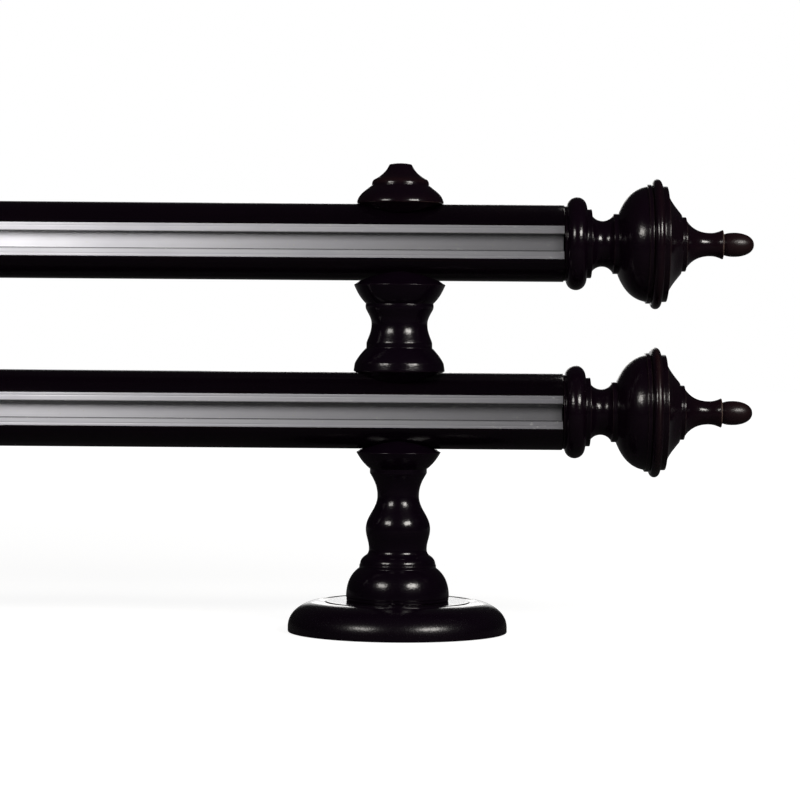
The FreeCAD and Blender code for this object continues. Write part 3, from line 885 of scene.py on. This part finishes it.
# World: white to the camera, white behind the object in reflections, a dim room otherwise
roomLook = dict(ambient=0.24, front=0.012, paperSide=(0.16, 0.08), paperTop=(0.42, 0.24), paperFade=8.0)
room = bpy.data.worlds.new("studio")
scene.world = room
bench = Bench(room)
sky = bench.node("ShaderNodeTexCoord", {}, {}, "Generated")
across, ahead, rise = bench.parts(sky)
ray, shine = bench.rays()
backdrop = across.size().between(*roomLook["paperSide"]) * rise.between(*roomLook["paperTop"])
backdrop = backdrop * (ahead * roomLook["paperFade"]).held()
seen = roomLook["front"] + (1 - roomLook["front"]) * backdrop
level = ray + (1 - ray) * (shine * seen + (1 - shine) * roomLook["ambient"])
white = bench.node("ShaderNodeBackground", {}, {"Color": (1, 1, 1, 1), "Strength": level})
bench.node("ShaderNodeOutputWorld", {}, {"Surface": white})

# Lamps, set out round the right (1) or left (-1) bracket and turned from its front: a pair of softboxes in
# front and a dim one low behind for the wood, three for the tracks, one in front of the left half, two behind
# it, and one high behind the poles. Each has its group of pieces to light or to leave out.
warm, plain = (1.0, 0.965, 0.92), (1.0, 0.985, 0.965)
softboxes = dict(
    left=dict(side=1, turn=-40, reach=0.75, height=0.49, size=(0.27, 0.165), watts=2.4, colour=warm,
              on="wood"),
    right=dict(side=1, turn=38, reach=0.75, height=0.49, size=(0.31, 0.18), watts=4.5, colour=warm,
               on="turned"),
    behind=dict(side=1, turn=180, reach=1.2, height=0.36, size=(0.34, 0.36), watts=0.5, colour=plain,
                on="wood"),
    tracks=dict(side=1, turn=-38, reach=0.55, height=0.293, size=(0.14, 0.187), watts=1.25, colour=plain,
                on="tracks"),
    farTracks=dict(side=-1, turn=18, reach=0.55, height=0.293, size=(0.14, 0.187), watts=1.0, colour=plain,
                   on="tracks"),
    lowTracks=dict(side=-1, turn=-5, reach=0.3, height=0.004, size=(0.8, 0.3), watts=0.9, colour=plain,
                   on="tracks"),
    farLeft=dict(side=-1, turn=-38, reach=0.75, height=0.49, size=(0.31, 0.18), watts=4.0, colour=warm,
                 on="leftHalf"),
    backLeft=dict(side=-1, turn=-145, reach=0.75, height=0.55, size=(0.31, 0.3), watts=4.5, colour=warm,
                  on="leftTurned"),
    backInner=dict(side=-1, turn=160, reach=0.75, height=0.55, size=(0.27, 0.3), watts=3.0, colour=warm,
                   on="leftTurned"),
    backPoles=dict(side=1, turn=135, reach=0.7, height=1.0, size=(0.6, 0.3), watts=3.0, colour=warm,
                   on="poles"),
)
aimHeight = 0.12


# A group of pieces for a lamp that lights only them (INCLUDE) or leaves them out (EXCLUDE).
def lampGroup(name, members, state):
    group = bpy.data.collections.new(name)
    for piece in members:
        group.objects.link(piece)
    for member in group.collection_objects:
        member.light_linking.link_state = state
    return group


rails = [piece for node, piece in pieces.items() if "track" in node]
bars = [pieces[f"{name}_pole"] for name in poleNames]
leftHalf = [piece for node, piece in pieces.items() if "track" not in node and "right" not in node]
leftTurned = [piece for piece in leftHalf if piece not in bars]
lit = dict(
    wood=lampGroup("allButTracks", rails, "EXCLUDE"),
    turned=lampGroup("allTurned", rails + bars, "EXCLUDE"),
    tracks=lampGroup("tracksOnly", rails, "INCLUDE"),
    leftHalf=lampGroup("leftHalf", leftHalf, "INCLUDE"),
    poles=lampGroup("polesOnly", bars, "INCLUDE"),
    leftTurned=lampGroup("leftTurned", leftTurned, "INCLUDE"),
)
for name, look in softboxes.items():
    turn = math.radians(look["turn"])
    foot = look["side"] * bracketX * mm
    light = bpy.data.lights.new(f"softbox_{name}", "AREA")
    light.shape, light.energy, light.color = "RECTANGLE", look["watts"], look["colour"]
    light.size, light.size_y = look["size"]
    lamp = bpy.data.objects.new(f"softbox_{name}", light)
    lamp.location = (foot + look["reach"] * math.sin(turn), -look["reach"] * math.cos(turn), look["height"])
    aim = Vector((foot, 0, aimHeight)) - lamp.location
    if look["height"] < aimHeight / 2:
        aim = Vector((0, 0, 1))  # lies flat on the floor
    lamp.rotation_euler = aim.to_track_quat("-Z", "Y").to_euler()
    lamp.visible_camera = False
    lamp.light_linking.receiver_collection = lit[look["on"]]
    scene.collection.objects.link(lamp)

# Camera
view = dict(where=(0.4320, -1.330, 0.1344), aim=(0.4260, 0.0, 0.1057), roll=0.43,
            focal=2918.0, picture=800, sensor=36.0)  # focal length and picture width in pixels
camera = bpy.data.cameras.new("camera")
camera.sensor_fit, camera.sensor_width = "HORIZONTAL", view["sensor"]
camera.lens = view["focal"] * camera.sensor_width / view["picture"]
eye = bpy.data.objects.new("camera", camera)
facing = (Vector(view["aim"]) - Vector(view["where"])).to_track_quat("-Z", "Y").to_matrix().to_4x4()
roll = Matrix.Rotation(math.radians(view["roll"]), 4, "Z")
eye.matrix_world = Matrix.Translation(view["where"]) @ facing @ roll
scene.collection.objects.link(eye)
scene.camera = eye
scene.view_settings.view_transform = "Standard"
print("floor, room, lamps and camera set")

bpy.context.view_layer.update()
